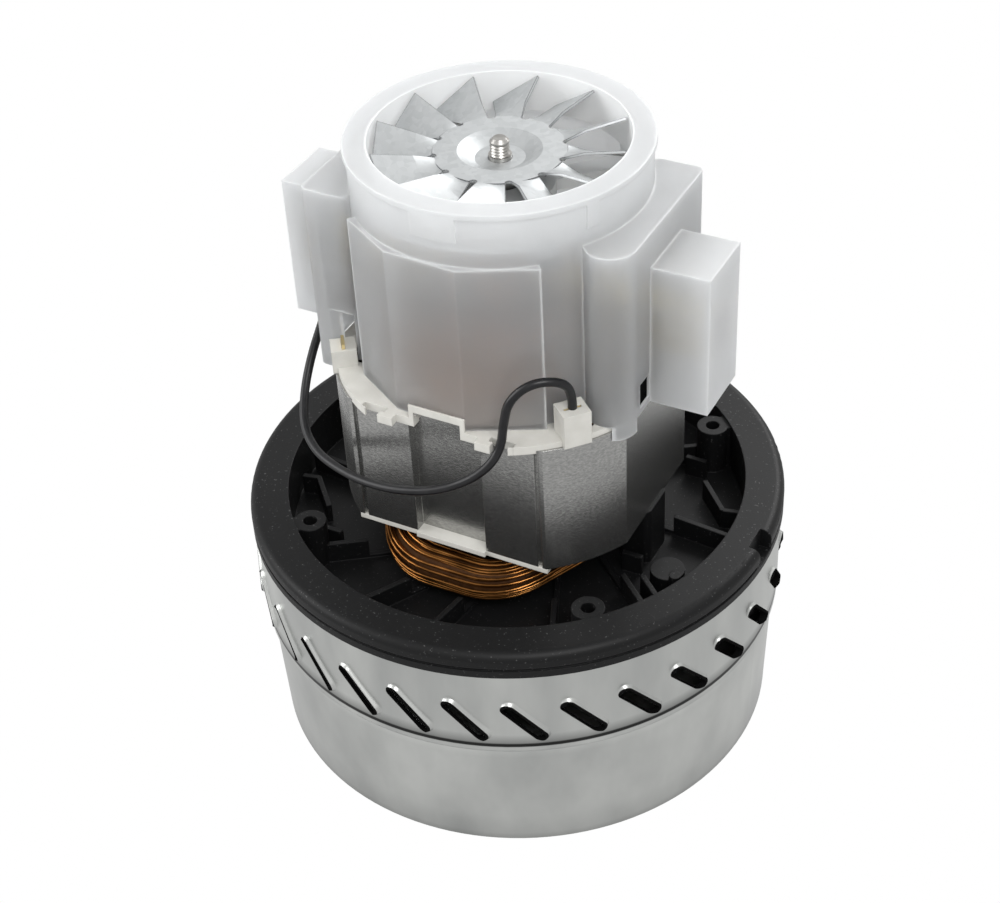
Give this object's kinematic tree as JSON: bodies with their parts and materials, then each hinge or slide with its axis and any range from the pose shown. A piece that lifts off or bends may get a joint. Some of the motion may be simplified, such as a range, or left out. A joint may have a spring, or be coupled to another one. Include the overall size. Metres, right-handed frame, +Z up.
{
  "type": "vacuum motor unit",
  "caption": "Two-stage bypass vacuum motor: louvred steel fan shell, black bell bracket, laminated stator, copper field coils and frosted cover with cooling fan.",
  "frame": {"origin": "motor axis at the flat face of the fan shell that the inlet opens through", "axes": "+Z up the shaft to the cooling fan, X along the brushes, -Y towards the face with the front terminal"},
  "size_m": [0.1462, 0.1462, 0.1737],
  "materials": {
    "zinc_steel": "drawn zinc plated sheet",
    "black_moulding": "filled black polymer, matte",
    "lamination": "stacked electrical steel, bare edges",
    "frosted_cover": "natural translucent polymer, frosted",
    "ivory_insulator": "ivory polyamide",
    "enamelled_copper": "amber enamelled wire",
    "bare_copper": "turned copper",
    "moulding_compound": "brown moulding compound",
    "bright_steel": "ground steel",
    "aluminium_sheet": "pressed sheet",
    "galvanised_sheet": "mottled zinc spangle",
    "brass_sheet": "formed brass",
    "spring_steel": "spring wire",
    "carbon": "pressed carbon",
    "black_lead": "black cable sleeve"
  },
  "bodies": {
    "housing": {"fan_shell": "zinc_steel", "discharge_band": "zinc_steel", "bell_bracket": "black_moulding", "return_guide": "aluminium_sheet", "stage_plate": "zinc_steel", "lower_bearing_outer": "bright_steel", "upper_bearing_outer": "bright_steel", "stator_core": "lamination", "lower_insulator": "ivory_insulator", "upper_insulator": "ivory_insulator", "field_core_front": "enamelled_copper", "field_core_rear": "enamelled_copper", "field_winding_front": "enamelled_copper", "field_winding_rear": "enamelled_copper", "contact_front": "brass_sheet", "contact_left": "brass_sheet", "stator_screws": "bright_steel", "motor_cover": "frosted_cover", "brush_plate_left": "moulding_compound", "brush_plate_right": "moulding_compound", "brush_sleeve_left": "brass_sheet", "brush_sleeve_right": "brass_sheet", "brush_cap_left": "moulding_compound", "brush_cap_right": "moulding_compound", "brush_spring_left": "spring_steel", "brush_spring_right": "spring_steel", "lead_wire": "black_lead"},
    "rotor": {"shaft": "bright_steel", "tail_washer": "bright_steel", "tail_nut": "bright_steel", "first_impeller": "aluminium_sheet", "second_impeller": "aluminium_sheet", "stage_spacer": "bright_steel", "bracket_spacer": "bright_steel", "armature_spacer": "bright_steel", "lower_bearing_inner": "bright_steel", "upper_bearing_inner": "bright_steel", "armature_core": "lamination", "armature_winding": "enamelled_copper", "commutator": "bare_copper", "commutator_hub": "moulding_compound", "cooling_fan": "galvanised_sheet", "fan_bush": "bright_steel"},
    "brush_left": {"carbon_brush_left": "carbon"},
    "brush_right": {"carbon_brush_right": "carbon"}
  },
  "joints": [
    {"name": "rotor_spin", "type": "hinge", "parent": "housing", "child": "rotor", "pos_m": [0, 0, 0.06], "axis": [0, 0, 1], "continuous": true},
    {"name": "brush_left_slide", "type": "slide", "parent": "housing", "child": "brush_left", "axis": [-1, 0, 0], "range_m": [0, 0.008], "stiffness_N_per_m": 150, "springref_m": -0.012, "deforming": ["brush_spring_left"]},
    {"name": "brush_right_slide", "type": "slide", "parent": "housing", "child": "brush_right", "axis": [1, 0, 0], "range_m": [0, 0.008], "stiffness_N_per_m": 150, "springref_m": -0.012, "deforming": ["brush_spring_right"]}
  ]
}
